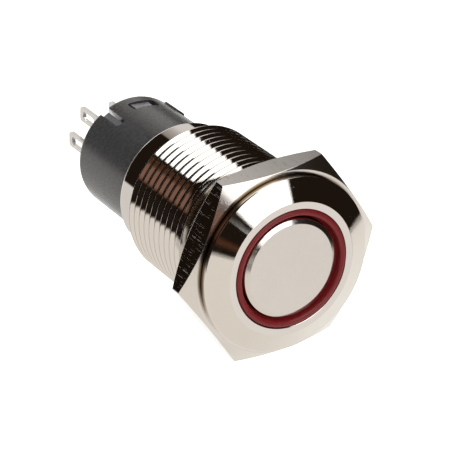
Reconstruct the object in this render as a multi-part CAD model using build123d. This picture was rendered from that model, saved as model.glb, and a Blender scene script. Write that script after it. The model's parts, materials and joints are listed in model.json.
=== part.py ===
"""Illuminated metal push button for a 16 mm panel hole, with a change-over contact.

Units are millimetres. The origin is on the button's axis, in the plane of the panel's front
face, which the underside of the head rests on. +Z points out of the button's front.
Everything behind the panel has a negative z.
"""

from build123d import *
import math
import os

# ---- Driving dimensions -------------------------------------------------------------------
# Head and barrel (one turned piece)
HEAD_R = 9.0
HEAD_WALL = 0.68             # height of the head's straight side
FACE_R = 6.86                # flat front ring, inside the bevel
FACE_Z = 1.62                # height of the flat front ring
MOUTH_R = 6.12               # opening for the light ring
MOUTH_END_Z = -1.0           # shoulder at the bottom of that opening
BORE_R = 6.6                 # main bore of the barrel
THREAD_R = 7.95              # crest radius of the M16 x 1 thread
NECK_R = 7.7                 # relief under the head
THREAD_START_Z = -3.1
THREAD_END_Z = -16.45
COLLAR_R = 7.08              # plain collar behind the thread
COLLAR_CORNER = 0.12
COLLAR_BORE_R = 6.23
COLLAR_SHOULDER_Z = -18.3    # inner shoulder that holds the rear housing's flange
BARREL_END_Z = -19.55

# Hex nut
NUT_ACROSS_FLATS = 19.0
NUT_THICKNESS = 2.9
NUT_BORE_R = 8.0
NUT_CHAMFER_R = 9.5          # where the 30 degree end chamfers begin
NUT_CHAMFER_ANGLE = 30.0
NUT_GAP = 0.05               # free play between the nut and the head
NUT_TURN = 36.0              # rest angle of one flat's normal, from +X

# Rubber ring under the head
SEAL_GROOVE_IN_R = 8.1
SEAL_GROOVE_OUT_R = 8.7
SEAL_GROOVE_DEPTH = 0.5
SEAL_PLAY = 0.05

# Light ring
RING_OUT_R = 6.05
RING_EDGE_Z = 1.60           # outer edge, level with the front ring
RING_CROWN_R = 5.76
RING_CROWN_Z = 1.72          # top of the rounded crown
RING_LIP_R = 5.46
RING_LIP_Z = 1.56
RING_CONE_R = 5.40
RING_CONE_Z = 1.30
RING_BORE_R = 5.16
RING_BORE_Z = 0.90
RING_END_Z = -4.5
RING_FLANGE_R = 6.5
RING_FLANGE_TOP_Z = -1.35
RING_FLANGE_END_Z = -2.3
GASKET_PLAY = 0.02
GASKET_IN_R = 6.1

# Button and its O-ring
BUTTON_R = 5.07
BUTTON_EDGE_Z = 1.38
BUTTON_FACE_R = 4.6
BUTTON_TOP_Z = 1.55
BUTTON_IN_R = 4.2
BUTTON_ROOF_Z = 0.55
BUTTON_END_Z = -3.0
ORING_GROOVE_R = 4.62
ORING_GROOVE_TOP_Z = -1.9
ORING_GROOVE_END_Z = -2.4
ORING_CENTRE_R = 4.87
ORING_WIRE_R = 0.22

# Plunger
PLUNGER_HEAD_R = 4.18
PLUNGER_HEAD_TOP_Z = 0.5
PLUNGER_HEAD_END_Z = -1.2
STEM_R = 1.6
CLIP_GROOVE_R = 1.2
CLIP_TOP_Z = -10.55
CLIP_THICKNESS = 0.4
CLIP_R = 1.95
CLIP_MOUTH = 2.0             # open side of the clip
CARRIER_TOP_Z = -11.5
CARRIER_END_Z = -15.5
CARRIER_HALF_X = 2.6
CARRIER_HALF_Y = 1.2

# Return spring
SPRING_R = 2.45
SPRING_WIRE_R = 0.225
SPRING_TOP_Z = -1.22
SPRING_END_Z = -8.52
SPRING_TURNS = 7

# Ring lighting
BOARD_R = 6.5
BOARD_HOLE_R = 3.3
BOARD_TOP_Z = -5.3
BOARD_THICKNESS = 0.8
LED_COUNT = 6
LED_RADIUS = 5.65            # circle of the LEDs
LED_SIZE = (0.8, 1.6, 0.6)   # radial, around, high
RESISTOR_SIZE = (1.6, 0.8, 0.45)
RESISTOR_Y = 4.6
LEAD_R = 0.25
LEAD_HOLE_R = 0.4

# Contact block
BLOCK_R = 6.5
BLOCK_TOP_Z = -6.1
BLOCK_END_Z = -17.0
SPRING_POCKET_R = 3.0
SPRING_POCKET_END_Z = -8.55
GUIDE_BORE_R = 1.68
CAVITY_TOP_Z = -10.5
CARRIER_PLAY = 0.1
CONTACT_BAY_HALF_X = 3.6
CONTACT_BAY_FAR_Y = -2.6     # wall that backs the fixed contacts
CONTACT_BAY_NEAR_Y = -1.2
CLIP_BAY_R = 2.12
CLIP_BAY_END_Z = -13.3
POCKET_PLAY = 0.2

# Moving contact
BRIDGE_HALF_X = 2.6
BRIDGE_TOP_Z = -12.4
BRIDGE_END_Z = -13.6
BRIDGE_BACK_Y = -1.45
BRIDGE_THICKNESS = 0.3
TIP_X = 2.1
TIP_R = 0.35
TIP_HEIGHT = 0.3
PEG_X = 1.2
PEG_R = 0.3
PEG_HOLE_R = 0.34
PEG_END_Y = -1.85
CONTACT_SPRING_R = 0.5
CONTACT_SPRING_WIRE_R = 0.1
CONTACT_SPRING_TURNS = 4
CONTACT_SPRING_END_Y = 0.3
CONTACT_POCKET_R = 0.75

# Terminals
BLADE_THICKNESS = 0.4
BLADE_WIDTH = 1.6
BLADE_CORNER = 0.38          # rounding of the tip's two corners
BLADE_END_Z = -35.7
BLADE_TOP_Z = -21.0
COMMON_END_Z = -34.9
CONTACT_BLADE_X = 3.0        # normally closed at +X, normally open at -X
CONTACT_BLADE_Y = -2.92
COMMON_BLADE_Y = -3.25
LED_BLADE_X = 4.3
LED_BLADE_Y = -0.3
LED_BLADE_TOP_Z = -22.0
EYE_WIDTH = 0.85             # oval wire hole
EYE_LENGTH = 2.5
EYE_FROM_TIP = 1.9
PAD_FACE_Y = -2.1
PAD_INNER_X = 1.6
PAD_TOP_Z = -12.0
CLOSED_PAD_END_Z = -13.9
OPEN_PAD_TOP_Z = -14.2
COMMON_PAD_HALF_X = 0.8
PAD_STRIP_END_Z = -22.5

# Rear housing and the base that closes it
HOUSING_R = 6.2
HOUSING_IN_R = 5.25
HOUSING_LEDGE_R = 5.0
HOUSING_LEDGE_Z = -24.4
HOUSING_END_Z = -30.3
HOUSING_CORNER = 0.45
FLANGE_R = 6.5
FLANGE_TOP_Z = -17.05
FLANGE_END_Z = -17.85
SLOT_ANGLE = -57.5
SLOT_WIDTH = 1.05
SLOT_TOP_Z = -26.2
SLOT_TOP_CORNER = 0.3
SLOT_MOUTH_CORNER = 0.6      # the slot flares where it meets the housing's end
WINDOW_ANGLES = (-92.0, 88.0)
WINDOW_WIDTH = 3.12
WINDOW_TOP_Z = -27.15
WINDOW_END_Z = -28.75
RIB_ANGLE = -129.0
RIB_WIDTH = 1.3
RIB_HEIGHT = 0.2
RIB_TOP_Z = -26.8
RIB_END_Z = -29.3
BASE_R = 5.2
BASE_TOP_Z = -24.5
BASE_END_Z = -29.85
TAB_WIDTH = 2.05
TAB_R = 5.95
TAB_PLAY = 0.05
TAB_SHIFT = 0.15             # the tab sits to one side of its window
KEY_R = 5.68                 # key on the base that fills most of the housing's slot
KEY_IN_R = 4.4
KEY_TOP_Z = -26.35
KEY_END_Z = -30.05
KEY_LOW_Y = -0.29            # across the slot
KEY_HIGH_Y = 0.495
GROOVE_R = 4.1               # bottom of the groove beside the key
BLADE_PLAY = 0.03            # around a terminal in the base
SEALANT_THICKNESS = 0.8
SEALANT_R = 4.97

MARGIN = 1.0                 # how far a cutting tool runs past the face it opens


# ---- Helpers --------------------------------------------------------------------------------
def turned(points):
    """Solid of revolution about Z from (radius, z) corners."""
    outline = Plane.XZ * Polyline(*points, close=True)
    return revolve(make_face(outline), Axis.Z)


def disc(radius, top_z, end_z):
    """Cylinder about Z between two heights."""
    return Pos(0, 0, (top_z + end_z) / 2) * Cylinder(radius, top_z - end_z)


def tube(out_r, in_r, top_z, end_z):
    """Ring about Z between two heights."""
    return disc(out_r, top_z, end_z) - disc(in_r, top_z + MARGIN, end_z - MARGIN)


def block(x_low, x_high, y_low, y_high, z_low, z_high):
    """Box between two corners."""
    size = (x_high - x_low, y_high - y_low, z_high - z_low)
    centre = ((x_low + x_high) / 2, (y_low + y_high) / 2, (z_low + z_high) / 2)
    return Pos(*centre) * Box(*size)


def coil(radius, wire_r, height, turns):
    """Round wire coil that starts at the origin's level and climbs along +Z."""
    free = height - 2 * wire_r
    path = Helix(pitch=free / turns, height=free, radius=radius)
    section = Plane(path @ 0, z_dir=path % 0) * Circle(wire_r)
    return Pos(0, 0, wire_r) * sweep(section, path=path, is_frenet=True)


def save(name, shape):
    """Write one sub-part to its own STEP file."""
    export_step(shape, os.path.join("parts", name + ".step"))


# ---- Head, barrel and nut -------------------------------------------------------------------
def bezel_shell():
    """Head with a wide bevel, threaded barrel and a plain collar around the rear housing."""
    shell = turned([
        (MOUTH_R, FACE_Z), (FACE_R, FACE_Z), (HEAD_R, HEAD_WALL), (HEAD_R, 0),
        (NECK_R, 0), (NECK_R, THREAD_START_Z), (THREAD_R, THREAD_START_Z),
        (THREAD_R, THREAD_END_Z), (COLLAR_R, THREAD_END_Z),
        (COLLAR_R, BARREL_END_Z + COLLAR_CORNER), (COLLAR_R - COLLAR_CORNER, BARREL_END_Z),
        (COLLAR_BORE_R, BARREL_END_Z), (COLLAR_BORE_R, COLLAR_SHOULDER_Z),
        (BORE_R, COLLAR_SHOULDER_Z),
        (BORE_R, MOUTH_END_Z), (MOUTH_R, MOUTH_END_Z),
    ])
    groove = tube(SEAL_GROOVE_OUT_R, SEAL_GROOVE_IN_R, SEAL_GROOVE_DEPTH, -SEAL_GROOVE_DEPTH)
    return shell - groove


def panel_seal():
    """Rubber ring that fills the groove under the head."""
    return tube(SEAL_GROOVE_OUT_R - SEAL_PLAY, SEAL_GROOVE_IN_R + SEAL_PLAY,
                SEAL_GROOVE_DEPTH - SEAL_PLAY / 2, SEAL_PLAY / 2)


def hex_nut():
    """Hexagon nut with both ends chamfered."""
    top_z = -NUT_GAP
    end_z = top_z - NUT_THICKNESS
    prism = extrude(RegularPolygon(NUT_ACROSS_FLATS / 2, 6, major_radius=False), NUT_THICKNESS)
    flat_angle = 30.0  # a regular polygon starts with a corner on +X
    prism = Rot(0, 0, NUT_TURN - flat_angle) * Pos(0, 0, end_z) * prism
    reach = NUT_ACROSS_FLATS * 0.6
    drop = (reach - NUT_CHAMFER_R) * math.tan(math.radians(NUT_CHAMFER_ANGLE))
    cone = turned([
        (0, top_z), (NUT_CHAMFER_R, top_z), (reach, top_z - drop),
        (reach, end_z + drop), (NUT_CHAMFER_R, end_z), (0, end_z),
    ])
    return (prism & cone) - disc(NUT_BORE_R, top_z + MARGIN, end_z - MARGIN)


# ---- Light ring -----------------------------------------------------------------------------
def light_ring():
    """Translucent sleeve around the button, with a crowned front and a flange."""
    crown = ThreePointArc((RING_OUT_R, RING_EDGE_Z), (RING_CROWN_R, RING_CROWN_Z),
                          (RING_LIP_R, RING_LIP_Z))
    rest = Polyline(
        (RING_LIP_R, RING_LIP_Z), (RING_CONE_R, RING_CONE_Z), (RING_BORE_R, RING_BORE_Z),
        (RING_BORE_R, RING_END_Z), (RING_OUT_R, RING_END_Z), (RING_OUT_R, RING_FLANGE_END_Z),
        (RING_FLANGE_R, RING_FLANGE_END_Z), (RING_FLANGE_R, RING_FLANGE_TOP_Z),
        (RING_OUT_R, RING_FLANGE_TOP_Z), (RING_OUT_R, RING_EDGE_Z),
    )
    outline = Plane.XZ * (crown + rest)
    return revolve(make_face(outline), Axis.Z)


def light_ring_seal():
    """Flat gasket between the light ring's flange and the shoulder in the head."""
    return tube(RING_FLANGE_R, GASKET_IN_R, MOUTH_END_Z - GASKET_PLAY,
                RING_FLANGE_TOP_Z + GASKET_PLAY)


# ---- Button and plunger -----------------------------------------------------------------------
def button_cap():
    """Metal cup with a bevelled edge and a groove for its O-ring."""
    cap = turned([
        (0, BUTTON_TOP_Z), (BUTTON_FACE_R, BUTTON_TOP_Z), (BUTTON_R, BUTTON_EDGE_Z),
        (BUTTON_R, BUTTON_END_Z), (BUTTON_IN_R, BUTTON_END_Z), (BUTTON_IN_R, BUTTON_ROOF_Z),
        (0, BUTTON_ROOF_Z),
    ])
    return cap - tube(BUTTON_R + MARGIN, ORING_GROOVE_R, ORING_GROOVE_TOP_Z, ORING_GROOVE_END_Z)


def button_seal():
    """O-ring in the button's groove."""
    middle_z = (ORING_GROOVE_TOP_Z + ORING_GROOVE_END_Z) / 2
    return Pos(0, 0, middle_z) * Torus(ORING_CENTRE_R, ORING_WIRE_R)


def plunger():
    """Stem with a broad head for the button and a square carrier for the moving contact."""
    body = disc(PLUNGER_HEAD_R, PLUNGER_HEAD_TOP_Z, PLUNGER_HEAD_END_Z)
    body += disc(STEM_R, PLUNGER_HEAD_END_Z, CARRIER_TOP_Z)
    body -= tube(STEM_R + MARGIN, CLIP_GROOVE_R, CLIP_TOP_Z, CLIP_TOP_Z - CLIP_THICKNESS)
    body += block(-CARRIER_HALF_X, CARRIER_HALF_X, -CARRIER_HALF_Y, CARRIER_HALF_Y,
                  CARRIER_END_Z, CARRIER_TOP_Z)
    contact_z = (BRIDGE_TOP_Z + BRIDGE_END_Z) / 2
    pocket_depth = CARRIER_HALF_Y + CONTACT_SPRING_END_Y
    body -= (Pos(0, -CARRIER_HALF_Y, contact_z) * Rot(-90, 0, 0)
             * Cylinder(CONTACT_POCKET_R, pocket_depth * 2))
    for x in (-PEG_X, PEG_X):
        length = -CARRIER_HALF_Y - PEG_END_Y
        body += (Pos(x, PEG_END_Y + length / 2, contact_z) * Rot(90, 0, 0)
                 * Cylinder(PEG_R, length))
    return body


def plunger_clip():
    """Spring clip in the stem's groove, open on one side."""
    end_z = CLIP_TOP_Z - CLIP_THICKNESS
    play = 0.02
    clip = tube(CLIP_R, CLIP_GROOVE_R + play, CLIP_TOP_Z - play, end_z + play)
    return clip - block(-CLIP_MOUTH / 2, CLIP_MOUTH / 2, 0, CLIP_R * 2, end_z - MARGIN,
                        CLIP_TOP_Z + MARGIN)


def return_spring():
    """Compression spring between the plunger's head and the contact block."""
    return Pos(0, 0, SPRING_END_Z) * coil(SPRING_R, SPRING_WIRE_R, SPRING_TOP_Z - SPRING_END_Z,
                                          SPRING_TURNS)


# ---- Ring lighting ----------------------------------------------------------------------------
def led_board():
    """Ring-shaped circuit board with a hole for each lead."""
    end_z = BOARD_TOP_Z - BOARD_THICKNESS
    board = tube(BOARD_R, BOARD_HOLE_R, BOARD_TOP_Z, end_z)
    for x in (-LED_BLADE_X, LED_BLADE_X):
        board -= Pos(x, 0, 0) * disc(LEAD_HOLE_R, BOARD_TOP_Z + MARGIN, end_z - MARGIN)
    return board


def leds():
    """Chips on a circle under the light ring, clear of the leads."""
    radial, around, high = LED_SIZE
    first = 360 / LED_COUNT / 2
    chip = Pos(LED_RADIUS, 0, BOARD_TOP_Z + high / 2) * Box(radial, around, high)
    return Compound([Rot(0, 0, first + 360 / LED_COUNT * i) * chip for i in range(LED_COUNT)])


def resistor_places():
    """Centres of the two resistors under the board."""
    return [(0, sign * RESISTOR_Y) for sign in (-1, 1)]


def led_resistors():
    """Series resistors on the board's rear face."""
    top_z = BOARD_TOP_Z - BOARD_THICKNESS
    length, width, high = RESISTOR_SIZE
    chip = Box(length, width, high)
    return Compound([Pos(x, y, top_z - high / 2) * chip for x, y in resistor_places()])


def led_lead(side):
    """Straight wire from the board to a lighting terminal, side +1 or -1."""
    return Pos(side * LED_BLADE_X, 0, 0) * disc(LEAD_R, BOARD_TOP_Z + LEAD_R, LED_BLADE_TOP_Z)


# ---- Contacts ---------------------------------------------------------------------------------
def contact_block():
    """Insulating block: spring seat, stem guide, and a cavity for carrier and contacts."""
    body = disc(BLOCK_R, BLOCK_TOP_Z, BLOCK_END_Z)
    body -= disc(SPRING_POCKET_R, BLOCK_TOP_Z + MARGIN, SPRING_POCKET_END_Z)
    body -= disc(GUIDE_BORE_R, BLOCK_TOP_Z, BLOCK_END_Z)
    body -= disc(CLIP_BAY_R, CAVITY_TOP_Z, CLIP_BAY_END_Z)
    half_x = CARRIER_HALF_X + CARRIER_PLAY
    half_y = CARRIER_HALF_Y + CARRIER_PLAY
    cavity_end_z = BLOCK_END_Z - MARGIN
    body -= block(-half_x, half_x, -half_y, half_y, cavity_end_z, CAVITY_TOP_Z)
    body -= block(-CONTACT_BAY_HALF_X, CONTACT_BAY_HALF_X, CONTACT_BAY_FAR_Y,
                  CONTACT_BAY_NEAR_Y, cavity_end_z, CAVITY_TOP_Z)
    length, width, high = RESISTOR_SIZE
    for x, y in resistor_places():
        body -= block(x - length / 2 - POCKET_PLAY, x + length / 2 + POCKET_PLAY,
                      y - width / 2 - POCKET_PLAY, y + width / 2 + POCKET_PLAY,
                      BLOCK_TOP_Z - high - POCKET_PLAY, BLOCK_TOP_Z + MARGIN)
    for side in (-1, 1):
        body -= Pos(side * LED_BLADE_X, 0, 0) * disc(LEAD_HOLE_R, BLOCK_TOP_Z + MARGIN,
                                                     cavity_end_z)
    return body


def along_y(x, y_low, y_high, z, radius):
    """Cylinder along Y."""
    return Pos(x, (y_low + y_high) / 2, z) * Rot(90, 0, 0) * Cylinder(radius, y_high - y_low)


def moving_contact():
    """Springy bridge that joins the common contact to one of the other two."""
    front_y = BRIDGE_BACK_Y - BRIDGE_THICKNESS
    middle_z = (BRIDGE_TOP_Z + BRIDGE_END_Z) / 2
    body = block(-BRIDGE_HALF_X, BRIDGE_HALF_X, front_y, BRIDGE_BACK_Y, BRIDGE_END_Z, BRIDGE_TOP_Z)
    for x in (-PEG_X, PEG_X):
        body -= along_y(x, front_y - MARGIN, BRIDGE_BACK_Y + MARGIN, middle_z, PEG_HOLE_R)
    return body


def moving_contact_tips():
    """Three silver rivets on the bridge."""
    front_y = BRIDGE_BACK_Y - BRIDGE_THICKNESS
    middle_z = (BRIDGE_TOP_Z + BRIDGE_END_Z) / 2
    return Compound([along_y(x, front_y - TIP_HEIGHT, front_y, middle_z, TIP_R)
                     for x in (-TIP_X, 0, TIP_X)])


def contact_spring():
    """Small spring that presses the bridge against the fixed contacts."""
    middle_z = (BRIDGE_TOP_Z + BRIDGE_END_Z) / 2
    wire = coil(CONTACT_SPRING_R, CONTACT_SPRING_WIRE_R,
                CONTACT_SPRING_END_Y - BRIDGE_BACK_Y, CONTACT_SPRING_TURNS)
    return Pos(0, BRIDGE_BACK_Y, middle_z) * Rot(-90, 0, 0) * wire


def blade(x, y, end_z, top_z):
    """Flat blade across Y with a rounded tip and an oval wire hole."""
    half = BLADE_WIDTH / 2
    body = block(x - BLADE_THICKNESS / 2, x + BLADE_THICKNESS / 2, y - half, y + half,
                 end_z, top_z)
    tip_edges = body.edges().filter_by(Axis.X).sort_by(Axis.Z)[:2]
    body = fillet(tip_edges, BLADE_CORNER)
    straight = EYE_LENGTH - EYE_WIDTH
    eye_z = end_z + EYE_FROM_TIP
    reach = BLADE_THICKNESS + MARGIN
    body -= Pos(x, y, eye_z) * Box(reach, EYE_WIDTH, straight)
    for sign in (-1, 1):
        body -= (Pos(x, y, eye_z + sign * straight / 2) * Rot(0, 90, 0)
                 * Cylinder(EYE_WIDTH / 2, reach))
    return body


def pad(x_low, x_high, z_low, z_high):
    """Flat contact strip that lies against the far wall of the contact bay."""
    return block(x_low, x_high, CONTACT_BAY_FAR_Y, PAD_FACE_Y, z_low, z_high)


def terminal_nc():
    """Normally closed terminal: its pad ends above the pressed position of the bridge."""
    out_x = CONTACT_BLADE_X + BLADE_THICKNESS / 2
    body = blade(CONTACT_BLADE_X, CONTACT_BLADE_Y, BLADE_END_Z, BLADE_TOP_Z)
    body += pad(out_x - BLADE_THICKNESS, out_x, PAD_STRIP_END_Z, PAD_TOP_Z)
    body += pad(PAD_INNER_X, out_x, CLOSED_PAD_END_Z, PAD_TOP_Z)
    return body


def terminal_no():
    """Normally open terminal: its pad begins below the rest position of the bridge."""
    out_x = -CONTACT_BLADE_X - BLADE_THICKNESS / 2
    body = blade(-CONTACT_BLADE_X, CONTACT_BLADE_Y, BLADE_END_Z, BLADE_TOP_Z)
    body += pad(out_x, out_x + BLADE_THICKNESS, PAD_STRIP_END_Z, OPEN_PAD_TOP_Z)
    body += pad(out_x, -PAD_INNER_X, BLOCK_END_Z, OPEN_PAD_TOP_Z)
    return body


def terminal_common():
    """Common terminal: its pad runs under the bridge over the whole travel."""
    body = blade(0, COMMON_BLADE_Y, COMMON_END_Z, BLADE_TOP_Z)
    body += pad(-COMMON_PAD_HALF_X, COMMON_PAD_HALF_X, PAD_STRIP_END_Z, PAD_TOP_Z)
    return body


def terminal_led(side):
    """Lighting terminal, side +1 or -1."""
    return blade(side * LED_BLADE_X, LED_BLADE_Y, BLADE_END_Z, LED_BLADE_TOP_Z)


# ---- Rear housing -------------------------------------------------------------------------------
def slot_opening():
    """Space of the key slot: rounded at its top and flared at the housing's end."""
    half = SLOT_WIDTH / 2
    wide = half + SLOT_MOUTH_CORNER
    x_low, x_high = HOUSING_LEDGE_R - MARGIN, HOUSING_R + MARGIN
    opening = block(x_low, x_high, -half, half, HOUSING_END_Z - MARGIN, SLOT_TOP_Z)
    opening = fillet(opening.edges().filter_by(Axis.X).sort_by(Axis.Z)[-2:], SLOT_TOP_CORNER)
    flare_z = HOUSING_END_Z + SLOT_MOUTH_CORNER
    flare = block(x_low, x_high, -wide, wide, HOUSING_END_Z - MARGIN, flare_z)
    for y in (-wide, wide):
        flare -= (Pos((x_low + x_high) / 2, y, flare_z) * Rot(0, 90, 0)
                  * Cylinder(SLOT_MOUTH_CORNER, x_high - x_low + MARGIN))
    return opening + flare


def rear_housing():
    """Skirt with a flange held by the collar's shoulder, a key slot, two windows and a rib."""
    body = disc(HOUSING_R, FLANGE_TOP_Z, HOUSING_END_Z)
    body = fillet(body.edges().sort_by(Axis.Z)[0], HOUSING_CORNER)
    body += disc(FLANGE_R, FLANGE_TOP_Z, FLANGE_END_Z)
    rib_r = HOUSING_R + RIB_HEIGHT
    rib = block(HOUSING_IN_R, rib_r, -RIB_WIDTH / 2, RIB_WIDTH / 2, RIB_END_Z, RIB_TOP_Z)
    body += Rot(0, 0, RIB_ANGLE) * fillet(rib.edges().filter_by(Axis.Z).sort_by(Axis.X)[-2:],
                                          RIB_HEIGHT)
    body -= disc(HOUSING_LEDGE_R, FLANGE_TOP_Z + MARGIN, HOUSING_END_Z - MARGIN)
    body -= disc(HOUSING_IN_R, HOUSING_LEDGE_Z, HOUSING_END_Z - MARGIN)
    body -= Rot(0, 0, SLOT_ANGLE) * slot_opening()
    window = block(HOUSING_LEDGE_R - MARGIN, HOUSING_R + MARGIN, -WINDOW_WIDTH / 2,
                   WINDOW_WIDTH / 2, WINDOW_END_Z, WINDOW_TOP_Z)
    for angle in WINDOW_ANGLES:
        body -= Rot(0, 0, angle) * window
    return body


def housing_seal():
    """Ring between the housing's flange and the collar's inner shoulder."""
    return tube(FLANGE_R, HOUSING_R + SEAL_PLAY, FLANGE_END_Z - SEAL_PLAY / 2,
                COLLAR_SHOULDER_Z + SEAL_PLAY / 2)


def blade_openings(play):
    """Space that the five blades take, grown by a play."""
    half_x = BLADE_THICKNESS / 2 + play
    half_y = BLADE_WIDTH / 2 + play
    places = [(CONTACT_BLADE_X, CONTACT_BLADE_Y), (-CONTACT_BLADE_X, CONTACT_BLADE_Y),
              (0, COMMON_BLADE_Y), (LED_BLADE_X, LED_BLADE_Y), (-LED_BLADE_X, LED_BLADE_Y)]
    return [block(x - half_x, x + half_x, y - half_y, y + half_y, BLADE_END_Z, BLADE_TOP_Z)
            for x, y in places]


def terminal_base():
    """Plug that holds the blades, with a tab in each window and a key in the slot."""
    body = disc(BASE_R, BASE_TOP_Z, BASE_END_Z)
    tab = block(BASE_R - MARGIN, TAB_R, -TAB_WIDTH / 2 + TAB_SHIFT, TAB_WIDTH / 2 + TAB_SHIFT,
                WINDOW_END_Z + TAB_PLAY, WINDOW_TOP_Z - TAB_PLAY)
    for angle in WINDOW_ANGLES:
        body += Rot(0, 0, angle) * tab
    groove = block(GROOVE_R, BASE_R + MARGIN, -SLOT_WIDTH / 2, SLOT_WIDTH / 2,
                   BASE_END_Z - MARGIN, BASE_TOP_Z + MARGIN)
    body -= Rot(0, 0, SLOT_ANGLE) * groove
    wall = block(GROOVE_R - MARGIN, BASE_R - BLADE_PLAY, KEY_LOW_Y, SLOT_WIDTH / 2, BASE_END_Z,
                 BASE_TOP_Z)
    key = block(KEY_IN_R, KEY_R, KEY_LOW_Y, KEY_HIGH_Y, KEY_END_Z, KEY_TOP_Z)
    body += Rot(0, 0, SLOT_ANGLE) * (wall + key)
    for opening in blade_openings(BLADE_PLAY):
        body -= opening
    return body


def terminal_sealant():
    """Resin poured around the blades on the base's inner side."""
    top_z = HOUSING_LEDGE_Z + SEALANT_THICKNESS
    body = disc(SEALANT_R, top_z, BASE_TOP_Z)
    for opening in blade_openings(0):
        body -= opening
    return body


# ---- Write every sub-part -----------------------------------------------------------------------
os.makedirs("parts", exist_ok=True)

save("bezel_shell", bezel_shell())
save("panel_seal", panel_seal())
save("hex_nut", hex_nut())
save("light_ring", light_ring())
save("light_ring_seal", light_ring_seal())
save("button_cap", button_cap())
save("button_seal", button_seal())
save("plunger", plunger())
save("plunger_clip", plunger_clip())
save("return_spring", return_spring())
save("led_board", led_board())
save("leds", leds())
save("led_resistors", led_resistors())
save("led_lead_plus", led_lead(1))
save("led_lead_minus", led_lead(-1))
save("contact_block", contact_block())
save("moving_contact", moving_contact())
save("moving_contact_tips", moving_contact_tips())
save("contact_spring", contact_spring())
save("terminal_nc", terminal_nc())
save("terminal_no", terminal_no())
save("terminal_common", terminal_common())
save("terminal_led_plus", terminal_led(1))
save("terminal_led_minus", terminal_led(-1))
save("rear_housing", rear_housing())
save("housing_seal", housing_seal())
save("terminal_base", terminal_base())
save("terminal_sealant", terminal_sealant())
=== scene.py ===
"""Looks of the illuminated metal push button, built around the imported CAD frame.

Lengths named here are millimetres and are turned into metres by MM. The frame's origin is on
the button's axis at the underside of the head, and +Z points out of the button's front.
"""

import json
import math

import bmesh
import bpy
from mathutils import Matrix, Vector


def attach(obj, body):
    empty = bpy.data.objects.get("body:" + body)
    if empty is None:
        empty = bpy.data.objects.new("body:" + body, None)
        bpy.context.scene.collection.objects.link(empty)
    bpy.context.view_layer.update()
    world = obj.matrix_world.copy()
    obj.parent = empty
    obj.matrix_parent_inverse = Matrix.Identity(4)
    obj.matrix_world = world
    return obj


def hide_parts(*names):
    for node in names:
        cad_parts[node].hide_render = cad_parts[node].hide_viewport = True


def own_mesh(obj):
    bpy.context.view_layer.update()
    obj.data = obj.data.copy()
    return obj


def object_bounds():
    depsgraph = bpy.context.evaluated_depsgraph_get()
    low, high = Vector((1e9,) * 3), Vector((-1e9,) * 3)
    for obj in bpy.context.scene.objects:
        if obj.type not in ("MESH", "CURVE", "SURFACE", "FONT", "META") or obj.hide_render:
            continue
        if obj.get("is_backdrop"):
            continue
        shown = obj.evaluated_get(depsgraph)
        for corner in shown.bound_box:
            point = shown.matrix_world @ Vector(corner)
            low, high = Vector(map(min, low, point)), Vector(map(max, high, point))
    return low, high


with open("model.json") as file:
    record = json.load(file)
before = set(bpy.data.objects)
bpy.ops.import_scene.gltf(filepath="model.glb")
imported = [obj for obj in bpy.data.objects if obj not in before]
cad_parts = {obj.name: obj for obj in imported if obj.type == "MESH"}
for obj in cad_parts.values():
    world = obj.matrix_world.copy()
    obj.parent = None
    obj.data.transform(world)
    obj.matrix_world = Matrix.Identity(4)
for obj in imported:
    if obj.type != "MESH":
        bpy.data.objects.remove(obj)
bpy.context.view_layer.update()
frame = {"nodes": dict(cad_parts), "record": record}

MM = 0.001

# ---- Driving dimensions, in millimetres --------------------------------------------------------
HEAD_R = 9.0
HEAD_WALL = 0.68
FACE_R = 6.86
FACE_Z = 1.62
MOUTH_R = 6.12
MOUTH_END_Z = -1.0
BORE_R = 6.6
COLLAR_R = 7.08              # plain collar behind the thread
COLLAR_BORE_R = 6.23
COLLAR_SHOULDER_Z = -18.3
COLLAR_CORNER = 0.21
BARREL_END_Z = -19.55
HEAD_EDGE = 0.07             # rounding of the head's own edges

CREST_R = 7.95
ROOT_R = 7.378
PITCH = 1.0
CREST_WIDTH = 0.10
ROOT_WIDTH = 0.21
CREST_ROUNDING = 0.045
ROOT_ROUNDING = 0.12
THREAD_TOP_Z = -0.9
THREAD_END_Z = -16.45
THREAD_END_ROUNDING = 0.1
RUNOUT = 0.7                 # length over which the thread fades in at the neck
NECK_R = 7.45                # relief under the head

NUT_HALF_WIDTH = 9.5
NUT_TOP_Z = -0.05
NUT_END_Z = -2.95
NUT_BORE_R = 8.0
NUT_CHAMFER_R = 9.44
NUT_CHAMFER_ANGLE = 30.0
NUT_COUNTERSINK = 0.35
NUT_TURN = 36.0              # azimuth of one flat

HOUSING_R = 6.2
HOUSING_IN_R = 5.25
HOUSING_LEDGE_R = 5.0
HOUSING_LEDGE_Z = -24.4
HOUSING_END_Z = -30.3
FLANGE_R = 6.5
FLANGE_TOP_Z = -17.05
FLANGE_END_Z = -17.85
SLOT_ANGLE = -57.5
SLOT_WIDTH = 1.05
SLOT_TOP_Z = -26.2
SLOT_TOP_CORNER = 0.3
SLOT_MOUTH_CORNER = 0.6
WINDOW_ANGLES = (-92.0, 88.0)
WINDOW_WIDTH = 3.12
WINDOW_TOP_Z = -27.15
WINDOW_END_Z = -28.75
WINDOW_CORNER = 0.3
RIB_ANGLE = -129.0
RIB_HALF_WIDTH = 0.65
RIB_RISE = 0.2
RIB_TOP_Z = -26.8
RIB_END_Z = -29.3
CUT_REACH = (4.0, 8.0)       # radii between which the housing's openings are cut

SPRING_R = 2.45
SPRING_WIRE_R = 0.225
SPRING_TOP_Z = -1.22
SPRING_END_Z = -8.52
SPRING_TURNS = 7

TURNED_STEPS = 192           # points around a turned piece


# ---- Mesh helpers ------------------------------------------------------------------------------
def link(name, mesh):
    """Object with that mesh, in the scene."""
    piece = bpy.data.objects.new(name, mesh)
    bpy.context.scene.collection.objects.link(piece)
    return piece


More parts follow.
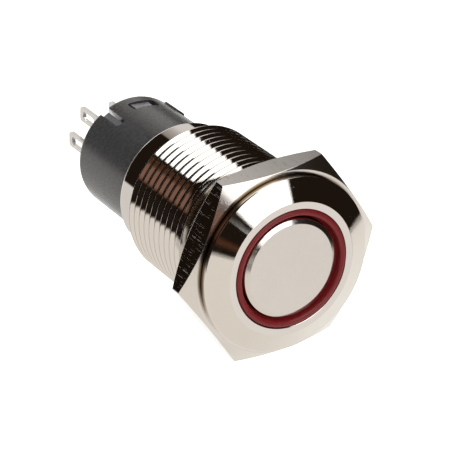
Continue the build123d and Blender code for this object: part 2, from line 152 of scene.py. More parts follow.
def finish_mesh(bm, name, sharp_angle=35.0):
    """Turn a bmesh into a smooth-shaded mesh object whose hard edges stay hard."""
    bmesh.ops.recalc_face_normals(bm, faces=bm.faces)
    mesh = bpy.data.meshes.new(name)
    bm.to_mesh(mesh)
    bm.free()
    mesh.shade_smooth()
    mesh.set_sharp_from_angle(angle=math.radians(sharp_angle))
    return link(name, mesh)


def rounded(corners, steps=4):
    """Outline with each corner (radius, z, rounding) turned into an arc between support points."""
    outline = []
    count = len(corners)
    for i, (x, z, rounding) in enumerate(corners):
        here = Vector((x, z))
        if rounding == 0:
            outline.append(here)
            continue
        before = (Vector(corners[i - 1][:2]) - here)
        after = (Vector(corners[(i + 1) % count][:2]) - here)
        turn = before.angle(after)
        reach = rounding / math.tan(turn / 2)
        u, v = before.normalized(), after.normalized()
        centre = here + (u + v).normalized() * rounding / math.sin(turn / 2)
        start, end = here + u * reach - centre, here + v * reach - centre
        sweep = start.angle_signed(end)
        support = 0.3 * reach
        outline.append(here + u * (reach + support))
        for step in range(steps + 1):
            outline.append(centre + Matrix.Rotation(-sweep * step / steps, 2) @ start)
        outline.append(here + v * (reach + support))
    return outline


def add_ring(bm, radius, z, steps=TURNED_STEPS):
    """Ring of vertices about Z, sizes in millimetres."""
    return [bm.verts.new((radius * MM * math.cos(math.tau * i / steps),
                          radius * MM * math.sin(math.tau * i / steps), z * MM))
            for i in range(steps)]


def bridge(bm, lower, upper):
    """Quads between two rings with the same number of vertices."""
    count = len(lower)
    for i in range(count):
        j = (i + 1) % count
        bm.faces.new((lower[i], lower[j], upper[j], upper[i]))


def turned(name, corners, closed=True, steps=TURNED_STEPS):
    """Turned solid from (radius, z, rounding) corners; an open one starts and ends on the axis."""
    bm = bmesh.new()
    outline = rounded(corners)
    rings = [add_ring(bm, p.x, p.y, steps) for p in outline if p.x > 1e-6]
    for lower, upper in zip(rings, rings[1:]):
        bridge(bm, lower, upper)
    if closed:
        bridge(bm, rings[-1], rings[0])
    else:
        for ring, z in ((rings[0], outline[0].y), (rings[-1], outline[-1].y)):
            centre = bm.verts.new((0, 0, z * MM))
            for i in range(steps):
                bm.faces.new((ring[i], ring[(i + 1) % steps], centre))
    return finish_mesh(bm, name)


def box_cutter(x_low, x_high, y_half, z_low, z_high, angle, rounding=0.0):
    """Box at an angle about Z, used to cut or to add, with its radial edges rounded."""
    bm = bmesh.new()
    bmesh.ops.create_cube(bm, size=1.0)
    size = Vector((x_high - x_low, 2 * y_half, z_high - z_low)) * MM
    centre = Vector((x_low + x_high, 0.0, z_low + z_high)) * MM / 2
    for vertex in bm.verts:
        vertex.co = Vector(a * b for a, b in zip(vertex.co, size)) + centre
    if rounding:
        edges = [e for e in bm.edges if abs((e.verts[0].co - e.verts[1].co).x) > size.x / 2]
        bmesh.ops.bevel(bm, geom=edges, offset=rounding * MM, segments=5, affect="EDGES",
                        profile=0.5)
    bmesh.ops.rotate(bm, verts=bm.verts, cent=(0, 0, 0),
                     matrix=Matrix.Rotation(math.radians(angle), 3, "Z"))
    return finish_mesh(bm, "cutter")


def combine(piece, others, operation):
    """Apply a boolean with each of the other objects, which are then removed."""
    for other in others:
        step = piece.modifiers.new("combine", "BOOLEAN")
        step.operation = operation
        step.solver = "EXACT"
        step.object = other
        bpy.context.view_layer.update()
        graph = bpy.context.evaluated_depsgraph_get()
        result = bpy.data.meshes.new_from_object(piece.evaluated_get(graph))
        piece.modifiers.remove(step)
        piece.data = result
        bpy.data.objects.remove(other)
    piece.data.shade_smooth()
    piece.data.set_sharp_from_angle(angle=math.radians(30))
    return piece


def soften(piece, width, angle=40.0):
    """Small rounding on every edge sharper than the angle."""
    bevel = piece.modifiers.new("edge rounding", "BEVEL")
    bevel.width = width * MM
    bevel.segments = 3
    bevel.limit_method = "ANGLE"
    bevel.angle_limit = math.radians(angle)
    bevel.harden_normals = True
    return piece


# ---- Head and barrel ---------------------------------------------------------------------------
def smooth_step(value):
    """0 below 0, 1 above 1, and a soft rise between."""
    t = min(max(value, 0.0), 1.0)
    return t * t * (3 - 2 * t)


def thread_outline():
    """One turn of the M16 x 1 profile as (distance along the axis, radius), rounded corners."""
    flank = (PITCH - CREST_WIDTH - ROOT_WIDTH) / 2
    root_z = CREST_WIDTH + flank
    points = rounded([
        (ROOT_R, -flank, 0), (CREST_R, 0.0, CREST_ROUNDING), (CREST_R, CREST_WIDTH, CREST_ROUNDING),
        (ROOT_R, root_z, ROOT_ROUNDING), (ROOT_R, root_z + ROOT_WIDTH, ROOT_ROUNDING),
        (CREST_R, PITCH, CREST_ROUNDING), (CREST_R, PITCH + CREST_WIDTH, 0),
    ], steps=3)
    start = -flank / 2
    return [(p.y, p.x) for p in points if start <= p.y < start + PITCH]


def radius_along(outline, distance):
    """Radius of the repeating outline at a distance along the axis."""
    first = outline[0][0]
    distance = (distance - first) % PITCH + first
    ends = outline + [(first + PITCH, outline[0][1])]
    for (low, low_r), (high, high_r) in zip(ends, ends[1:]):
        if distance <= high + 1e-9:
            return low_r + (high_r - low_r) * (distance - low) / (high - low)
    return outline[0][1]


def threaded_barrel(bm, steps):
    """Rows of vertices that follow the helix, from the neck to a flat end; returns end rings."""
    outline = thread_outline()
    per_turn = len(outline)
    length = THREAD_TOP_Z - THREAD_END_Z - THREAD_END_ROUNDING
    turns = math.ceil(length / PITCH) + 2
    columns = []
    for i in range(steps):
        angle = math.tau * i / steps
        lead = PITCH * i / steps
        column = []
        for row in range(per_turn * turns + 1):
            turn, index = divmod(row, per_turn)
            depth = turn * PITCH + outline[index][0] - lead
            depth = min(max(depth, 0.0), length)
            radius = radius_along(outline, depth + lead)
            radius = NECK_R + (radius - NECK_R) * smooth_step(depth / RUNOUT)
            column.append(bm.verts.new((radius * MM * math.cos(angle),
                                        radius * MM * math.sin(angle),
                                        (THREAD_TOP_Z - depth) * MM)))
        columns.append(column)
    rows = len(columns[0])
    for i in range(steps):
        shift = per_turn if i == steps - 1 else 0
        here, there = columns[i], columns[(i + 1) % steps]
        for row in range(rows - 1):
            upper, lower = max(row - shift, 0), max(row + 1 - shift, 0)
            corners = [here[row], here[row + 1], there[lower]]
            if upper != lower:
                corners.append(there[upper])
            bm.faces.new(corners)
        if shift:
            for row in range(rows - 1 - shift, rows - 1):
                bm.faces.new((here[rows - 1], there[row + 1], there[row]))
    return [c[0] for c in columns], [c[-1] for c in columns]


def thread_end(bm, last_ring):
    """Rings that round the crests off where the thread stops at a flat plane."""
    rings = []
    for turn in (30, 60, 90):
        bend = math.radians(turn)
        limit = CREST_R - THREAD_END_ROUNDING * (1 - math.cos(bend))
        z = THREAD_END_Z + THREAD_END_ROUNDING * (1 - math.sin(bend))
        ring = []
        for vertex in last_ring:
            radius = min(vertex.co.xy.length, limit * MM)
            ring.append(bm.verts.new((*(vertex.co.xy.normalized() * radius), z * MM)))
        rings.append(ring)
    return rings


def bezel_shell():
    """Head with its wide bevel, threaded barrel, and a plain collar around the housing."""
    steps = TURNED_STEPS
    bm = bmesh.new()
    top, end = threaded_barrel(bm, steps)
    edge = HEAD_EDGE
    rear = rounded([
        (COLLAR_R, THREAD_END_Z, 0.03), (COLLAR_R, BARREL_END_Z, COLLAR_CORNER),
        (COLLAR_BORE_R, BARREL_END_Z, edge),
        (COLLAR_BORE_R, COLLAR_SHOULDER_Z, 0), (BORE_R, COLLAR_SHOULDER_Z, 0),
        (BORE_R, MOUTH_END_Z, 0), (MOUTH_R, MOUTH_END_Z, 0),
        (MOUTH_R, FACE_Z, edge), (FACE_R, FACE_Z, edge), (HEAD_R, HEAD_WALL, edge),
        (HEAD_R, 0, edge), (NECK_R, 0, 0.05), (NECK_R, THREAD_TOP_Z + 0.02, 0),
        (NECK_R - 0.1, THREAD_END_Z, 0),
    ])[:-1]
    rings = [end] + thread_end(bm, end)
    rings += [add_ring(bm, p.x, p.y, steps) for p in rear] + [top]
    for lower, upper in zip(rings, rings[1:]):
        bridge(bm, lower, upper)
    bmesh.ops.remove_doubles(bm, verts=bm.verts, dist=1e-7)
    bmesh.ops.dissolve_degenerate(bm, edges=bm.edges, dist=1e-7)
    return finish_mesh(bm, "bezel_and_thread", sharp_angle=50)


def hex_nut():
    """Hexagon nut with chamfered ends and a countersunk bore."""
    steps = 6 * 28
    rise = math.tan(math.radians(NUT_CHAMFER_ANGLE))
    bm = bmesh.new()
    rings = [[] for _ in range(8)]
    for i in range(steps):
        angle = math.tau * i / steps
        from_flat = (angle + math.pi / 6) % (math.pi / 3) - math.pi / 6
        hex_r = NUT_HALF_WIDTH / math.cos(from_flat)
        drop = (hex_r - NUT_CHAMFER_R) * rise
        turn = angle + math.radians(NUT_TURN)
        places = [
            (NUT_BORE_R + NUT_COUNTERSINK, NUT_TOP_Z), (NUT_CHAMFER_R, NUT_TOP_Z),
            (hex_r, NUT_TOP_Z - drop), (hex_r, NUT_END_Z + drop),
            (NUT_CHAMFER_R, NUT_END_Z), (NUT_BORE_R + NUT_COUNTERSINK, NUT_END_Z),
            (NUT_BORE_R, NUT_END_Z + NUT_COUNTERSINK), (NUT_BORE_R, NUT_TOP_Z - NUT_COUNTERSINK),
        ]
        for ring, (radius, z) in zip(rings, places):
            ring.append(bm.verts.new((radius * MM * math.cos(turn),
                                      radius * MM * math.sin(turn), z * MM)))
    for lower, upper in zip(rings, rings[1:] + rings[:1]):
        bridge(bm, lower, upper)
    piece = finish_mesh(bm, "clamping_nut", sharp_angle=25)
    return soften(piece, 0.07, angle=42)


# ---- Light ring and button ---------------------------------------------------------------------
def light_ring():
    """Translucent sleeve with a crowned front edge."""
    return turned("light_ring_lens", [
        (6.05, 1.55, 0.05), (6.03, 1.62, 0.03), (5.76, 1.72, 0.3), (5.5, 1.62, 0.1),
        (5.38, 1.1, 0.1), (5.17, 0.8, 0.05), (5.17, -4.5, 0.05), (6.05, -4.5, 0.05),
        (6.05, -2.3, 0.02), (6.5, -2.3, 0.05), (6.5, -1.35, 0.05), (6.05, -1.35, 0.02),
    ])


def button_cap():
    """Metal cup with a bevelled edge and the O-ring groove."""
    return turned("button_cup", [
        (0, 1.55, 0), (4.6, 1.55, 0.06), (5.07, 1.36, 0.06), (5.07, -1.9, 0.02),
        (4.62, -1.9, 0.02), (4.62, -2.4, 0.02), (5.07, -2.4, 0.02), (5.07, -3.0, 0.05),
        (4.2, -3.0, 0.05), (4.2, 0.55, 0.05), (0, 0.55, 0),
    ], closed=False)


# ---- Rear housing ------------------------------------------------------------------------------
def rear_housing():
    """Plastic skirt with its key slot, two windows and a rib."""
    piece = turned("rear_skirt", [
        (FLANGE_R, FLANGE_TOP_Z, 0.05), (FLANGE_R, FLANGE_END_Z, 0.05),
        (HOUSING_R, FLANGE_END_Z, 0.02), (HOUSING_R, HOUSING_END_Z, 0.42),
        (HOUSING_IN_R, HOUSING_END_Z, 0.12), (HOUSING_IN_R, HOUSING_LEDGE_Z, 0.02),
        (HOUSING_LEDGE_R, HOUSING_LEDGE_Z, 0.05), (HOUSING_LEDGE_R, FLANGE_TOP_Z, 0.05),
    ], steps=160)
    rib = box_cutter(HOUSING_IN_R + 0.3, HOUSING_R + RIB_RISE, RIB_HALF_WIDTH,
                     RIB_END_Z, RIB_TOP_Z, RIB_ANGLE)
    soften(rib, 0.12, angle=60)
    combine(piece, [rib], "UNION")
    cutters = [slot_cutter()]
    for angle in WINDOW_ANGLES:
        cutters.append(box_cutter(*CUT_REACH, WINDOW_WIDTH / 2, WINDOW_END_Z, WINDOW_TOP_Z, angle,
                                  rounding=WINDOW_CORNER))
    combine(piece, cutters, "DIFFERENCE")
    return piece


def slot_cutter():
    """Cutter of the key slot: rounded at its top and flared at the housing's end."""
    half = SLOT_WIDTH / 2
    far_z = HOUSING_END_Z - 1.0
    outline = rounded([(0, SLOT_TOP_Z, 0), (half, SLOT_TOP_Z, SLOT_TOP_CORNER),
                       (half, HOUSING_END_Z + SLOT_MOUTH_CORNER, 0)])[1:]
    for step in range(1, 7):
        bend = math.radians(15 * step)
        outline.append(Vector((half + SLOT_MOUTH_CORNER * (1 - math.cos(bend)),
                               HOUSING_END_Z + SLOT_MOUTH_CORNER * (1 - math.sin(bend)))))
    outline.append(Vector((half + SLOT_MOUTH_CORNER, far_z)))
    side = outline + [Vector((-p.x, p.y)) for p in reversed(outline)]
    bm = bmesh.new()
    ends = [[bm.verts.new((x * MM, p.x * MM, p.y * MM)) for p in side] for x in CUT_REACH]
    for ring in ends:
        bm.faces.new(ring)
    bridge(bm, ends[0], ends[1])
    bmesh.ops.rotate(bm, verts=bm.verts, cent=(0, 0, 0),
                     matrix=Matrix.Rotation(math.radians(SLOT_ANGLE), 3, "Z"))
    return finish_mesh(bm, "cutter")


def return_spring():
    """Compression spring whose last turn at each end lies closed."""
    sides, per_turn = 12, 40
    count = SPRING_TURNS * per_turn
    closed = 2 * SPRING_WIRE_R * 1.02
    middle = (SPRING_TOP_Z - SPRING_END_Z - 2 * SPRING_WIRE_R - 2 * closed) / (SPRING_TURNS - 2)
    bm = bmesh.new()
    z = SPRING_END_Z + SPRING_WIRE_R
    rings = []
    for i in range(count + 1):
        angle = math.tau * i / per_turn
        outward = Vector((math.cos(angle), math.sin(angle), 0))
        centre = outward * SPRING_R + Vector((0, 0, z))
        ring = []
        for side in range(sides):
            around = math.tau * side / sides
            offset = outward * math.cos(around) + Vector((0, 0, math.sin(around)))
            ring.append(bm.verts.new((centre + offset * SPRING_WIRE_R) * MM))
        rings.append(ring)
        in_end_turn = i < per_turn or i >= count - per_turn
        z += (closed if in_end_turn else middle) / per_turn
    for lower, upper in zip(rings, rings[1:]):
        bridge(bm, lower, upper)
    bm.faces.new(rings[0])
    bm.faces.new(rings[-1])
    return finish_mesh(bm, "return_coil", sharp_angle=60)


# ---- Materials ---------------------------------------------------------------------------------
class Surface:
    """A Principled material and the few node chains that every surface here is made of."""

    def __init__(self, name, metallic=0.0, **sockets):
        self.material = bpy.data.materials.new(name)
        self.material.use_nodes = True
        self.tree = self.material.node_tree
        self.shader = self.tree.nodes["Principled BSDF"]
        self.shader.inputs["Metallic"].default_value = metallic
        for socket, value in sockets.items():
            self.shader.inputs[socket.replace("_", " ")].default_value = value
        self.coordinates = self.node("ShaderNodeTexCoord")
        self.place = self.coordinates.outputs["Object"]
        self.bump_chain = None

    def node(self, kind, **settings):
        made = self.tree.nodes.new(kind)
        for key, value in settings.items():
            setattr(made, key, value)
        return made

    def join(self, output, target):
        self.tree.links.new(output, target)

    def stretched(self, scale):
        """Object position, scaled so that a texture can run along a direction."""
        mapping = self.node("ShaderNodeMapping")
        mapping.inputs["Scale"].default_value = scale
        self.join(self.place, mapping.inputs["Vector"])
        return mapping.outputs["Vector"]

    def noise(self, scale, detail=4.0, stretch=(1.0, 1.0, 1.0)):
        """Noise whose features are about 1/scale metres across."""
        texture = self.node("ShaderNodeTexNoise")
        texture.inputs["Scale"].default_value = scale
        texture.inputs["Detail"].default_value = detail
        texture.inputs["Roughness"].default_value = 0.6
        self.join(self.stretched(stretch), texture.inputs["Vector"])
        return texture.outputs["Fac"]

    def rings(self, scale):
        """Fine circular tool marks about Z."""
        texture = self.node("ShaderNodeTexWave", wave_type="RINGS", rings_direction="Z")
        texture.inputs["Scale"].default_value = scale
        texture.inputs["Distortion"].default_value = 1.5
        texture.inputs["Detail"].default_value = 3.0
        self.join(self.place, texture.inputs["Vector"])
        return texture.outputs["Fac"]

    def remap(self, value, low, high, to_low, to_high):
        """Stretch a value's range."""
        made = self.node("ShaderNodeMapRange")
        for socket, number in (("From Min", low), ("From Max", high),
                               ("To Min", to_low), ("To Max", to_high)):
            made.inputs[socket].default_value = number
        self.join(value, made.inputs["Value"])
        return made.outputs["Result"]

    def math(self, operation, first, second):
        """Arithmetic on an output and an output or number."""
        made = self.node("ShaderNodeMath", operation=operation)
        self.join(first, made.inputs[0])
        if isinstance(second, (int, float)):
            made.inputs[1].default_value = second
        else:
            self.join(second, made.inputs[1])
        return made.outputs["Value"]

    def tint(self, value, low_colour, high_colour):
        """Colour that runs between two with a value, and is the base colour."""
        mix = self.node("ShaderNodeMix", data_type="RGBA")
        self.join(value, mix.inputs["Factor"])
        mix.inputs[6].default_value = (*low_colour, 1.0)
        mix.inputs[7].default_value = (*high_colour, 1.0)
        self.join(mix.outputs[2], self.shader.inputs["Base Color"])
        return mix.outputs[2]

    def height(self):
        """Z of the object position, in metres."""
        parts = self.node("ShaderNodeSeparateXYZ")
        self.join(self.place, parts.inputs[0])
        return parts.outputs["Z"]

    def from_axis(self):
        """Distance from the Z axis, in metres."""
        flat = self.node("ShaderNodeVectorMath", operation="MULTIPLY")
        flat.inputs[1].default_value = (1.0, 1.0, 0.0)
        self.join(self.place, flat.inputs[0])
        length = self.node("ShaderNodeVectorMath", operation="LENGTH")
        self.join(flat.outputs["Vector"], length.inputs[0])
        return length.outputs["Value"]

    def towards(self, azimuth):
        """Distance from the axis along one azimuth, in metres."""
        dot = self.node("ShaderNodeVectorMath", operation="DOT_PRODUCT")
        dot.inputs[1].default_value = direction(azimuth, 0.0)
        self.join(self.place, dot.inputs[0])
        return dot.outputs["Value"]

    def upward(self):
        """1 where the surface faces along Z, 0 where it stands upright."""
        parts = self.node("ShaderNodeSeparateXYZ")
        self.join(self.coordinates.outputs["Normal"], parts.inputs[0])
        return parts.outputs["Z"]

    def paint_shade(self, colour_output, mask, colour):
        """Mix the base colour towards another where the mask is 1, and return the result; here it
        paints shade.
        """
        mix = self.node("ShaderNodeMix", data_type="RGBA")
        self.join(mask, mix.inputs["Factor"])
        self.join(colour_output, mix.inputs[6])
        mix.inputs[7].default_value = (*colour, 1.0)
        self.join(mix.outputs[2], self.shader.inputs["Base Color"])
        return mix.outputs[2]

    def rough(self, value, low, high):
        """Roughness that runs between two with a value from 0.3 to 0.7, where noise mostly lies."""
        self.join(self.remap(value, 0.3, 0.7, low, high), self.shader.inputs["Roughness"])

    def bump(self, value, height):
        """Add a height in millimetres to the surface's relief."""
        made = self.node("ShaderNodeBump")
        made.inputs["Distance"].default_value = height * MM
        made.inputs["Strength"].default_value = 1.0
        self.join(value, made.inputs["Height"])
        if self.bump_chain:
            self.join(self.bump_chain, made.inputs["Normal"])
        self.bump_chain = made.outputs["Normal"]
        self.join(self.bump_chain, self.shader.inputs["Normal"])


CREVICE_SHADE = (0.22, 0.165, 0.10)       # painted shade and painted reflection tint in the crevice between the head and the nut
FLAT_SIDE_SHADE = (0.07, 0.064, 0.056)        # painted shade on the nut's flats, darker towards -X
CREST_LINE_SHADE = (0.26, 0.235, 0.21)          # painted shade: dark lines along the thread crests


def crevice_side(s):
    """Share of the painted shade in the gap between head and nut, which is painted mostly on one
    side.
    """
    return s.remap(s.towards(-70.0), -1.0 * MM, 2.5 * MM, 0.0, 1.0)


def bright_nickel():
    """Mirror nickel plate with turning marks and pits, painted shade in the crevice by the nut,
    painted dark lines on the crests.
    """
    s = Surface("bright nickel", metallic=1.0)
    colour = s.tint(s.noise(350, detail=3), (0.82, 0.79, 0.755), (0.87, 0.845, 0.81))
    # painted shade: the head's wall just above the nut darkens to a golden brown
    low = s.remap(s.height(), 0.62 * MM, 0.30 * MM, 0.0, 1.0)
    on_head = s.remap(s.height(), -0.5 * MM, -0.4 * MM, 0.0, 1.0)
    crevice_shade = s.math("MULTIPLY", s.math("MULTIPLY", low, on_head), crevice_side(s))
    colour = s.paint_shade(colour, crevice_shade, CREVICE_SHADE)
    # painted shade: the thread crests darken into thin dark lines
    below_neck = s.remap(s.height(), -0.95 * MM, -1.1 * MM, 0.0, 1.0)
    above_collar = s.remap(s.height(), -16.5 * MM, -16.4 * MM, 0.0, 1.0)
    on_thread = s.math("MULTIPLY", below_neck, above_collar)
    on_crest = s.remap(s.from_axis(), (CREST_R - 0.035) * MM, (CREST_R - 0.01) * MM, 0.0, 0.5)
    s.paint_shade(colour, s.math("MULTIPLY", on_thread, on_crest), CREST_LINE_SHADE)
    s.rough(s.noise(1500, detail=5), 0.02, 0.05)
    s.bump(s.rings(9000), 0.0002)
    s.bump(s.noise(9000, detail=3), 0.0002)
    pits = s.remap(s.noise(5200, detail=2), 0.72, 0.78, 0.0, 1.0)
    s.bump(pits, -0.0010)
    return s.material


def nut_nickel():
    """Nickel plate over a milled hexagon: scratched flats with painted shade darkening towards -X,
    painted shade beside the head.
    """
    s = Surface("milled nickel", metallic=1.0)
    colour = s.tint(s.noise(400, detail=3), (0.80, 0.77, 0.735), (0.86, 0.83, 0.80))
    side = s.remap(s.upward(), 0.3, 0.8, 1.0, 0.0)
    # painted shade: the nut's flats grow darker towards -X
    side_shade = s.math("MULTIPLY", side, s.remap(s.towards(180.0), -6.5 * MM, 5.0 * MM, 0.27, 0.70))
    colour = s.paint_shade(colour, side_shade, FLAT_SIDE_SHADE)
    # painted shade: the nut's front face next to the head darkens to a golden brown
    inner = s.remap(s.from_axis(), 9.26 * MM, 9.02 * MM, 0.0, 1.0)
    s.paint_shade(colour, s.math("MULTIPLY", inner, crevice_side(s)), CREVICE_SHADE)
    along = (1.0, 1.0, 0.03)
    fine = s.remap(s.noise(9000, detail=2, stretch=along), 0.54, 0.66, 0.0, 0.45)
    broken = s.remap(s.noise(1300, detail=2), 0.40, 0.60, 0.25, 1.0)
    scratched = s.math("MULTIPLY", fine, broken)
    plain = s.remap(side, 0.0, 1.0, 0.17, 0.07)
    s.join(s.math("MAXIMUM", plain, s.math("MULTIPLY", scratched, side)),
           s.shader.inputs["Roughness"])
    s.bump(s.noise(7000, detail=4), 0.0008)
    s.bump(s.remap(s.noise(5000, detail=3, stretch=along), 0.58, 0.66, 0.0, 1.0), -0.0016)
    return s.material


def satin_nickel():
    """Satin button face with a polished bevel."""
    s = Surface("satin nickel", metallic=1.0)
    s.tint(s.noise(500, detail=4), (0.80, 0.775, 0.735), (0.84, 0.815, 0.775))
    grain = s.remap(s.noise(4000, detail=5), 0.3, 0.7, -0.03, 0.03)
    s.join(s.math("ADD", s.remap(s.upward(), 0.965, 0.995, 0.14, 0.20), grain),
           s.shader.inputs["Roughness"])
    s.bump(s.noise(16000, detail=3), 0.0003)
    return s.material


def red_diffuser():
    """Deep red translucent plastic with a soft skin."""
    s = Surface("red diffuser", IOR=1.42)
    s.tint(s.noise(700, detail=3), (0.23, 0.014, 0.018), (0.29, 0.022, 0.026))
    s.shader.inputs["Subsurface Weight"].default_value = 0.25
    s.shader.inputs["Subsurface Radius"].default_value = (0.9, 0.12, 0.10)
    s.shader.inputs["Subsurface Scale"].default_value = 0.6 * MM
    s.rough(s.noise(3000, detail=4), 0.28, 0.40)
    s.bump(s.noise(6000, detail=3), 0.0006)
    return s.material


def moulded(name, low, high, roughness=(0.23, 0.32), grain=0.0005):
    """Moulded plastic with a fine spark-eroded grain."""
    s = Surface(name, IOR=1.75)
    s.tint(s.noise(450, detail=4), low, high)
    s.rough(s.noise(2500, detail=5), *roughness)
    s.bump(s.noise(12000, detail=2), grain)
    s.shader.inputs["Sheen Weight"].default_value = 0.22
    s.shader.inputs["Sheen Roughness"].default_value = 0.35
    return s.material


def drawn_metal(name, low, high):
    """Strip or wire with drawing lines along Z."""
    s = Surface(name, metallic=1.0)
    s.tint(s.noise(700, detail=4), low, high)
    s.rough(s.noise(3000, detail=5), 0.12, 0.28)
    s.bump(s.noise(9000, detail=4, stretch=(1.0, 1.0, 0.05)), 0.0018)
    return s.material


def rubber():
    """Matt silicone rubber."""
    s = Surface("rubber", IOR=1.45)
    s.tint(s.noise(900, detail=4), (0.018, 0.018, 0.018), (0.035, 0.034, 0.033))
    s.rough(s.noise(3000, detail=5), 0.65, 0.85)
    s.bump(s.noise(14000, detail=4), 0.004)
    return s.material


# ---- Studio ------------------------------------------------------------------------------------
def direction(azimuth, elevation):
    """Unit vector for an azimuth from +X and a height above the XY plane, in degrees."""
    a, e = math.radians(azimuth), math.radians(elevation)
    return Vector((math.cos(e) * math.cos(a), math.cos(e) * math.sin(a), math.sin(e)))


def studio_world(low_tone, high_tone, panels):
    """World with a tone below and above the horizon and soft-edged panels standing around.

    A panel is (foot, top, azimuths of its left and right edge at the foot, the same at the top,
    edge softness, tone), in degrees; its edges lean evenly between foot and top. The camera
    itself sees plain white.
    """
    world = bpy.data.worlds.new("studio")
    bpy.context.scene.world = world
    world.use_nodes = True
    tree = world.node_tree
    tree.nodes.clear()

    def add(kind, *values, **settings):
        made = tree.nodes.new(kind)
        for key, value in settings.items():
            setattr(made, key, value)
        for socket, value in zip(made.inputs, values):
            if isinstance(value, bpy.types.NodeSocket):
                tree.links.new(value, socket)
            elif value is not None:
                socket.default_value = value
        return made

    def arithmetic(operation, *values):
        return add("ShaderNodeMath", *values, operation=operation).outputs["Value"]

    def remap(value, low, high, to_low, to_high, soft=False):
        kind = "SMOOTHSTEP" if soft else "LINEAR"
        return add("ShaderNodeMapRange", value, low, high, to_low, to_high,
                   interpolation_type=kind, clamp=False).outputs["Result"]

    def mixed(cover, below, above):
        mix = add("ShaderNodeMix", data_type="RGBA")
        for socket, value in ((mix.inputs[0], cover), (mix.inputs[6], below),
                              (mix.inputs[7], above)):
            if isinstance(value, bpy.types.NodeSocket):
                tree.links.new(value, socket)
            else:
                socket.default_value = (*value, 1.0)
        return mix.outputs[2]

    towards = add("ShaderNodeTexCoord").outputs["Generated"]
    parts = add("ShaderNodeSeparateXYZ", towards).outputs
    azimuth = arithmetic("DEGREES", arithmetic("ARCTAN2", parts["Y"], parts["X"]))
    height = arithmetic("DEGREES", arithmetic("ARCSINE", parts["Z"]))
    colour = mixed(remap(height, -35.0, 25.0, 0.0, 1.0, soft=True), low_tone, high_tone)
    for foot, top, (left_foot, right_foot), (left_top, right_top), soft, tone in panels:
        centre = remap(height, foot, top, (left_foot + right_foot) / 2,
                       (left_top + right_top) / 2)
        half = remap(height, foot, top, (right_foot - left_foot) / 2,
                     (right_top - left_top) / 2)
        off = arithmetic("WRAP", arithmetic("SUBTRACT", azimuth, centre), 180.0, -180.0)
        beside = arithmetic("SUBTRACT", arithmetic("ABSOLUTE", off), half)
        above = arithmetic("SUBTRACT", height, (foot + top) / 2)
        above = arithmetic("SUBTRACT", arithmetic("ABSOLUTE", above), (top - foot) / 2)
        cover = arithmetic("MULTIPLY", remap(beside, soft, -soft, 0.0, 1.0, soft=True),
                           remap(above, soft, -soft, 0.0, 1.0, soft=True))
        colour = mixed(cover, colour, tone)

    studio = add("ShaderNodeBackground", colour)
    plain = add("ShaderNodeBackground", (1.0, 1.0, 1.0, 1.0))
    seen = add("ShaderNodeLightPath").outputs["Is Camera Ray"]
    mix = add("ShaderNodeMixShader", seen, studio.outputs[0], plain.outputs[0])
    add("ShaderNodeOutputWorld", mix.outputs[0])


FLOOR_R = 6.0                             # metres
FLOOR_DROP = 0.060                        # metres below the lowest terminal


def floor():
    """Large pale floor well below the terminals."""
    bm = bmesh.new()
    bmesh.ops.create_circle(bm, cap_ends=True, radius=FLOOR_R, segments=96)
    mesh = bpy.data.meshes.new("floor")
    bm.to_mesh(mesh)
    bm.free()
    piece = link("floor", mesh)
    piece.location.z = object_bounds()[0][2] - FLOOR_DROP
    s = Surface("pale floor")
    s.tint(s.noise(3.0, detail=2), (0.93, 0.93, 0.93), (0.95, 0.95, 0.95))
    s.rough(s.noise(8.0), 0.85, 0.95)
    s.shader.inputs["Emission Color"].default_value = (1.0, 1.0, 1.0, 1.0)
    s.shader.inputs["Emission Strength"].default_value = 0.75
    piece.data.materials.append(s.material)
    piece.visible_glossy = False
    piece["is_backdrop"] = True


LENS = 175.8                              # focal length on a 36 mm sensor
CAMERA_AIM = (-0.352, 0.846, -11.322)     # point on the middle of the picture
CAMERA_SIDE = (-41.832, 50.623)           # azimuth and elevation of the camera from there
CAMERA_DISTANCE = 217.86
CAMERA_ROLL = 126.465


def camera():
    """Long lens that looks at the button's face, with the terminals to the upper left."""
    data = bpy.data.cameras.new("camera")
    data.lens = LENS
    data.sensor_width = 36.0
    data.clip_start = 0.001
    aim = Vector(CAMERA_AIM) * MM
    back = direction(*CAMERA_SIDE)
    right = Vector((0, 0, 1)).cross(back).normalized()
    up = back.cross(right)
    roll = math.radians(CAMERA_ROLL)
    across = right * math.cos(roll) + up * math.sin(roll)
    upright = up * math.cos(roll) - right * math.sin(roll)
    piece = bpy.data.objects.new("camera", data)
    turn = Matrix((across, upright, back)).transposed().to_4x4()
    piece.matrix_world = Matrix.Translation(aim + back * CAMERA_DISTANCE * MM) @ turn
    bpy.context.scene.collection.objects.link(piece)
    bpy.context.scene.camera = piece


# ---- Assemble ----------------------------------------------------------------------------------
camera()
bpy.context.scene.view_settings.view_transform = "Standard"

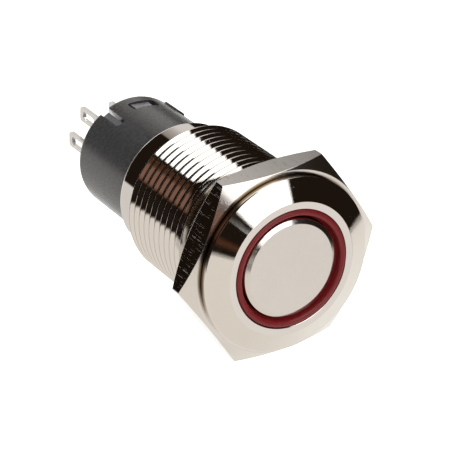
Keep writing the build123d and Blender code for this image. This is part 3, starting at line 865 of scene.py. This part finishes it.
LIGHT_WARM = (0.79, 0.735, 0.67)
LIGHT_BELOW = (1.15, 1.15, 1.12)
DIM_BELOW = (0.72, 0.69, 0.66)
GREY_BELOW = (0.44, 0.40, 0.375)
DARK_BELOW = (0.26, 0.23, 0.20)
DUSK = (0.055, 0.036, 0.022)
WHITE = (1.9, 1.86, 1.80)
BLACK = (0.013, 0.008, 0.005)
BROWN = (0.075, 0.030, 0.016)
PALE_BROWN = (0.215, 0.112, 0.080)
PALE_WARM = (0.83, 0.78, 0.745)
studio_world(LIGHT_BELOW, LIGHT_WARM, [
    # tones near the floor, which the upright faces show
    (-62, -20, (0, 110), (0, 65), 3, DIM_BELOW),
    (-62, -20, (-156, -90), (-141, -60), 2, GREY_BELOW),
    (-62, -40, (-156, -119), (-156, -119), 10, DIM_BELOW),
    (-62, -40, (-104, -80), (-104, -80), 10, DARK_BELOW),
    # sheet in front of the flat faces
    (40, 60, (120, 158), (120, 158), 6, PALE_WARM),
    # dark side of the room
    (-62, 18, (-188, -155), (-178, -112), 2, BLACK),
    (15, 85, (150, 250), (150, 250), 0.5, BLACK),
    # lamp and its spread overhead
    (-22, 50, (-116, -56), (-122, -66), 2, WHITE),
    (49, 84, (-118.5, -50), (-264, -90), 1.5, WHITE),
    # dark screens beside the lamp, from the floor to overhead
    (-80, -60, (-64, 5), (-66, 5), 2, DUSK),
    (-62, 62, (-99, 5), (-66, 23), 2, BLACK),
    (60, 95, (-64, 22), (-100, 57), 1.5, BLACK),
    (67.5, 79, (54, 64), (44, 64), 1, BLACK),
    (84, 95, (-130, -50), (-130, -50), 1.5, WHITE),
    # brown patches on the screens
    (40, 73, (-52, -16), (-64, -15), 3, BROWN),
    (40, 73, (-44, -18), (-48, -17), 5, PALE_BROWN),
    (75.5, 80.5, (8, 23), (8, 25), 2, BROWN),
])
floor()

MATERIALS = {
    "nickel_plate": bright_nickel(),
    "nickel_satin": satin_nickel(),
    "red_diffuser": red_diffuser(),
    "rubber": rubber(),
    "black_plastic": moulded("dark plastic", (0.034, 0.034, 0.036), (0.048, 0.048, 0.051)),
    "grey_plastic": moulded("grey plastic", (0.15, 0.155, 0.175), (0.18, 0.185, 0.205)),
    "white_plastic": moulded("white plastic", (0.60, 0.60, 0.57), (0.68, 0.68, 0.65)),
    "resin": moulded("black resin", (0.010, 0.010, 0.010), (0.018, 0.018, 0.018), (0.15, 0.3)),
    "circuit_board": moulded("solder resist", (0.02, 0.10, 0.04), (0.03, 0.14, 0.06), (0.2, 0.35)),
    "led_chip": moulded("led lens", (0.70, 0.18, 0.14), (0.80, 0.24, 0.18), (0.1, 0.2), 0.001),
    "resistor_chip": moulded("chip resistor", (0.02, 0.02, 0.02), (0.04, 0.04, 0.04), (0.2, 0.3)),
    "spring_steel": drawn_metal("spring wire", (0.50, 0.50, 0.50), (0.60, 0.60, 0.60)),
    "tinned_copper": drawn_metal("tinned wire", (0.66, 0.65, 0.63), (0.74, 0.73, 0.71)),
    "tinned_brass": drawn_metal("tinned strip", (0.88, 0.87, 0.84), (0.93, 0.92, 0.90)),
    "contact_bronze": drawn_metal("bronze strip", (0.60, 0.36, 0.18), (0.70, 0.44, 0.24)),
    "silver": drawn_metal("silver rivet", (0.84, 0.83, 0.80), (0.90, 0.89, 0.87)),
}
SLOT_OF = {s["node"]: s["material_slot"] for s in frame["record"]["subparts"]}
TERMINAL_EDGE = 0.05

for node, cad_object in frame["nodes"].items():
    cad_object.data.materials.clear()
    cad_object.data.materials.append(MATERIALS[SLOT_OF[node]])
    if node.startswith("terminal_") and node != "terminal_sealant":
        soften(cad_object, TERMINAL_EDGE)


def place(piece, body, node, material=None):
    """Put a detailed piece in the place of its CAD node."""
    piece.data.materials.clear()
    piece.data.materials.append(material or MATERIALS[SLOT_OF[node]])
    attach(piece, body)
    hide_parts(node)
    return piece


place(bezel_shell(), "body", "bezel_shell")
place(hex_nut(), "nut", "hex_nut", nut_nickel())
place(light_ring(), "body", "light_ring")
place(button_cap(), "button", "button_cap")
place(rear_housing(), "body", "rear_housing")
spring = place(return_spring(), "body", "return_spring")
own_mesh(spring)
